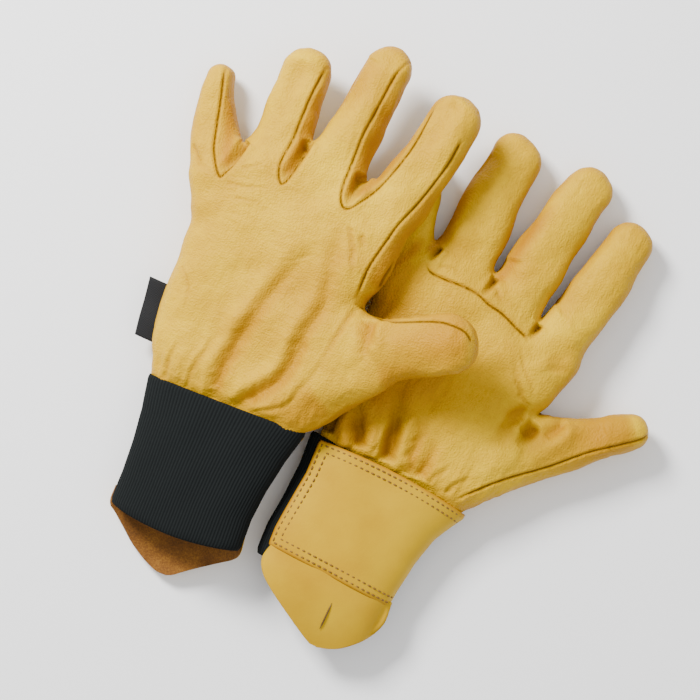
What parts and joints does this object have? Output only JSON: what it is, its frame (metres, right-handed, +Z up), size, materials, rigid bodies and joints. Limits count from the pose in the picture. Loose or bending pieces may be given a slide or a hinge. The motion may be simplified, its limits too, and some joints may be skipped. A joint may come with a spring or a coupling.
{
  "type": "pair of leather protector gloves",
  "caption": "Pair of supple grain leather hand protectors with knitted elastic cuffs and pulse tongues, worn over insulating gloves; laid down in a fan, one palm up.",
  "frame": {"origin": "on the floor, under the middle of the bounding box of the two gloves as they lie", "axes": "+Y the long way of the laid pair, towards the fingertips; +X towards the thumbs; +Z up from the floor"},
  "size_m": [0.2828, 0.313, 0.0688],
  "materials": {
    "grain_leather": "satin",
    "patch_leather": "satin",
    "tongue_suede": "matte",
    "elastic": "matte",
    "thread": "matte",
    "tag": "matte"
  },
  "bodies": {
    "right_glove": {"right_palm_panel": "grain_leather", "right_back_panel": "grain_leather", "right_elastic_cuff": "elastic", "right_pulse_tongue": "tongue_suede", "right_wrist_patch": "patch_leather", "right_patch_thread_outer": "thread", "right_patch_thread_inner": "thread", "right_dart_thread": "thread"},
    "right_little": {"right_little_front": "grain_leather", "right_little_back": "grain_leather", "right_little_inner_fourchette": "grain_leather"},
    "right_ring": {"right_ring_front": "grain_leather", "right_ring_back": "grain_leather", "right_ring_outer_fourchette": "grain_leather", "right_ring_inner_fourchette": "grain_leather"},
    "right_middle": {"right_middle_front": "grain_leather", "right_middle_back": "grain_leather", "right_middle_outer_fourchette": "grain_leather", "right_middle_inner_fourchette": "grain_leather"},
    "right_index": {"right_index_front": "grain_leather", "right_index_back": "grain_leather", "right_index_outer_fourchette": "grain_leather"},
    "right_thumb": {"right_thumb_front": "grain_leather", "right_thumb_back": "grain_leather"},
    "left_glove": {"left_palm_panel": "grain_leather", "left_back_panel": "grain_leather", "left_elastic_cuff": "elastic", "left_pulse_tongue": "tongue_suede", "left_wrist_patch": "patch_leather", "left_patch_thread_outer": "thread", "left_patch_thread_inner": "thread", "left_dart_thread": "thread", "left_label_tag": "tag"},
    "left_little": {"left_little_front": "grain_leather", "left_little_back": "grain_leather", "left_little_inner_fourchette": "grain_leather"},
    "left_ring": {"left_ring_front": "grain_leather", "left_ring_back": "grain_leather", "left_ring_outer_fourchette": "grain_leather", "left_ring_inner_fourchette": "grain_leather"},
    "left_middle": {"left_middle_front": "grain_leather", "left_middle_back": "grain_leather", "left_middle_outer_fourchette": "grain_leather", "left_middle_inner_fourchette": "grain_leather"},
    "left_index": {"left_index_front": "grain_leather", "left_index_back": "grain_leather", "left_index_outer_fourchette": "grain_leather"},
    "left_thumb": {"left_thumb_front": "grain_leather", "left_thumb_back": "grain_leather"}
  },
  "joints": [
    {"name": "left_glove_lift", "type": "slide", "parent": "right_glove", "child": "left_glove", "axis": [0, 0, 1], "range_m": [0, 0.12]},
    {"name": "right_little_bend", "type": "hinge", "parent": "right_glove", "child": "right_little", "pos_m": [0.01093, 0.04462, 0.0276], "axis": [0.9837, -0.1797, 0], "range_deg": [0, 3]},
    {"name": "right_ring_bend", "type": "hinge", "parent": "right_glove", "child": "right_ring", "pos_m": [0.03774, 0.03433, 0.0276], "axis": [0.8829, -0.4695, 0], "range_deg": [0, 70]},
    {"name": "right_middle_bend", "type": "hinge", "parent": "right_glove", "child": "right_middle", "pos_m": [0.06498, 0.01475, 0.0276], "axis": [0.72, -0.694, 0], "range_deg": [0, 70]},
    {"name": "right_index_bend", "type": "hinge", "parent": "right_glove", "child": "right_index", "pos_m": [0.08792, -0.00708, 0.0276], "axis": [0.7293, -0.6842, 0], "range_deg": [0, 70]},
    {"name": "right_thumb_bend", "type": "hinge", "parent": "right_glove", "child": "right_thumb", "pos_m": [0.0601, -0.06046, 0.0276], "axis": [-0.602, -0.7985, 0], "range_deg": [0, 45]},
    {"name": "left_little_bend", "type": "hinge", "parent": "left_glove", "child": "left_little", "pos_m": [-0.0908, 0.08705, 0.02869], "axis": [0.9763, 0.0322, 0.2138], "range_deg": [0, 40]},
    {"name": "left_ring_bend", "type": "hinge", "parent": "left_glove", "child": "left_ring", "pos_m": [-0.06554, 0.08509, 0.03434], "axis": [0.9641, -0.1502, 0.219], "range_deg": [0, 40]},
    {"name": "left_middle_bend", "type": "hinge", "parent": "left_glove", "child": "left_middle", "pos_m": [-0.03495, 0.07636, 0.04146], "axis": [0.9047, -0.3677, 0.2152], "range_deg": [0, 40]},
    {"name": "left_index_bend", "type": "hinge", "parent": "left_glove", "child": "left_index", "pos_m": [-0.00778, 0.05823, 0.04823], "axis": [0.6845, -0.7062, 0.1813], "range_deg": [0, 40]},
    {"name": "left_thumb_bend", "type": "hinge", "parent": "left_glove", "child": "left_thumb", "pos_m": [-0.02633, -0.01058, 0.0471], "axis": [-0.3884, -0.9204, -0.046], "range_deg": [0, 30]}
  ]
}
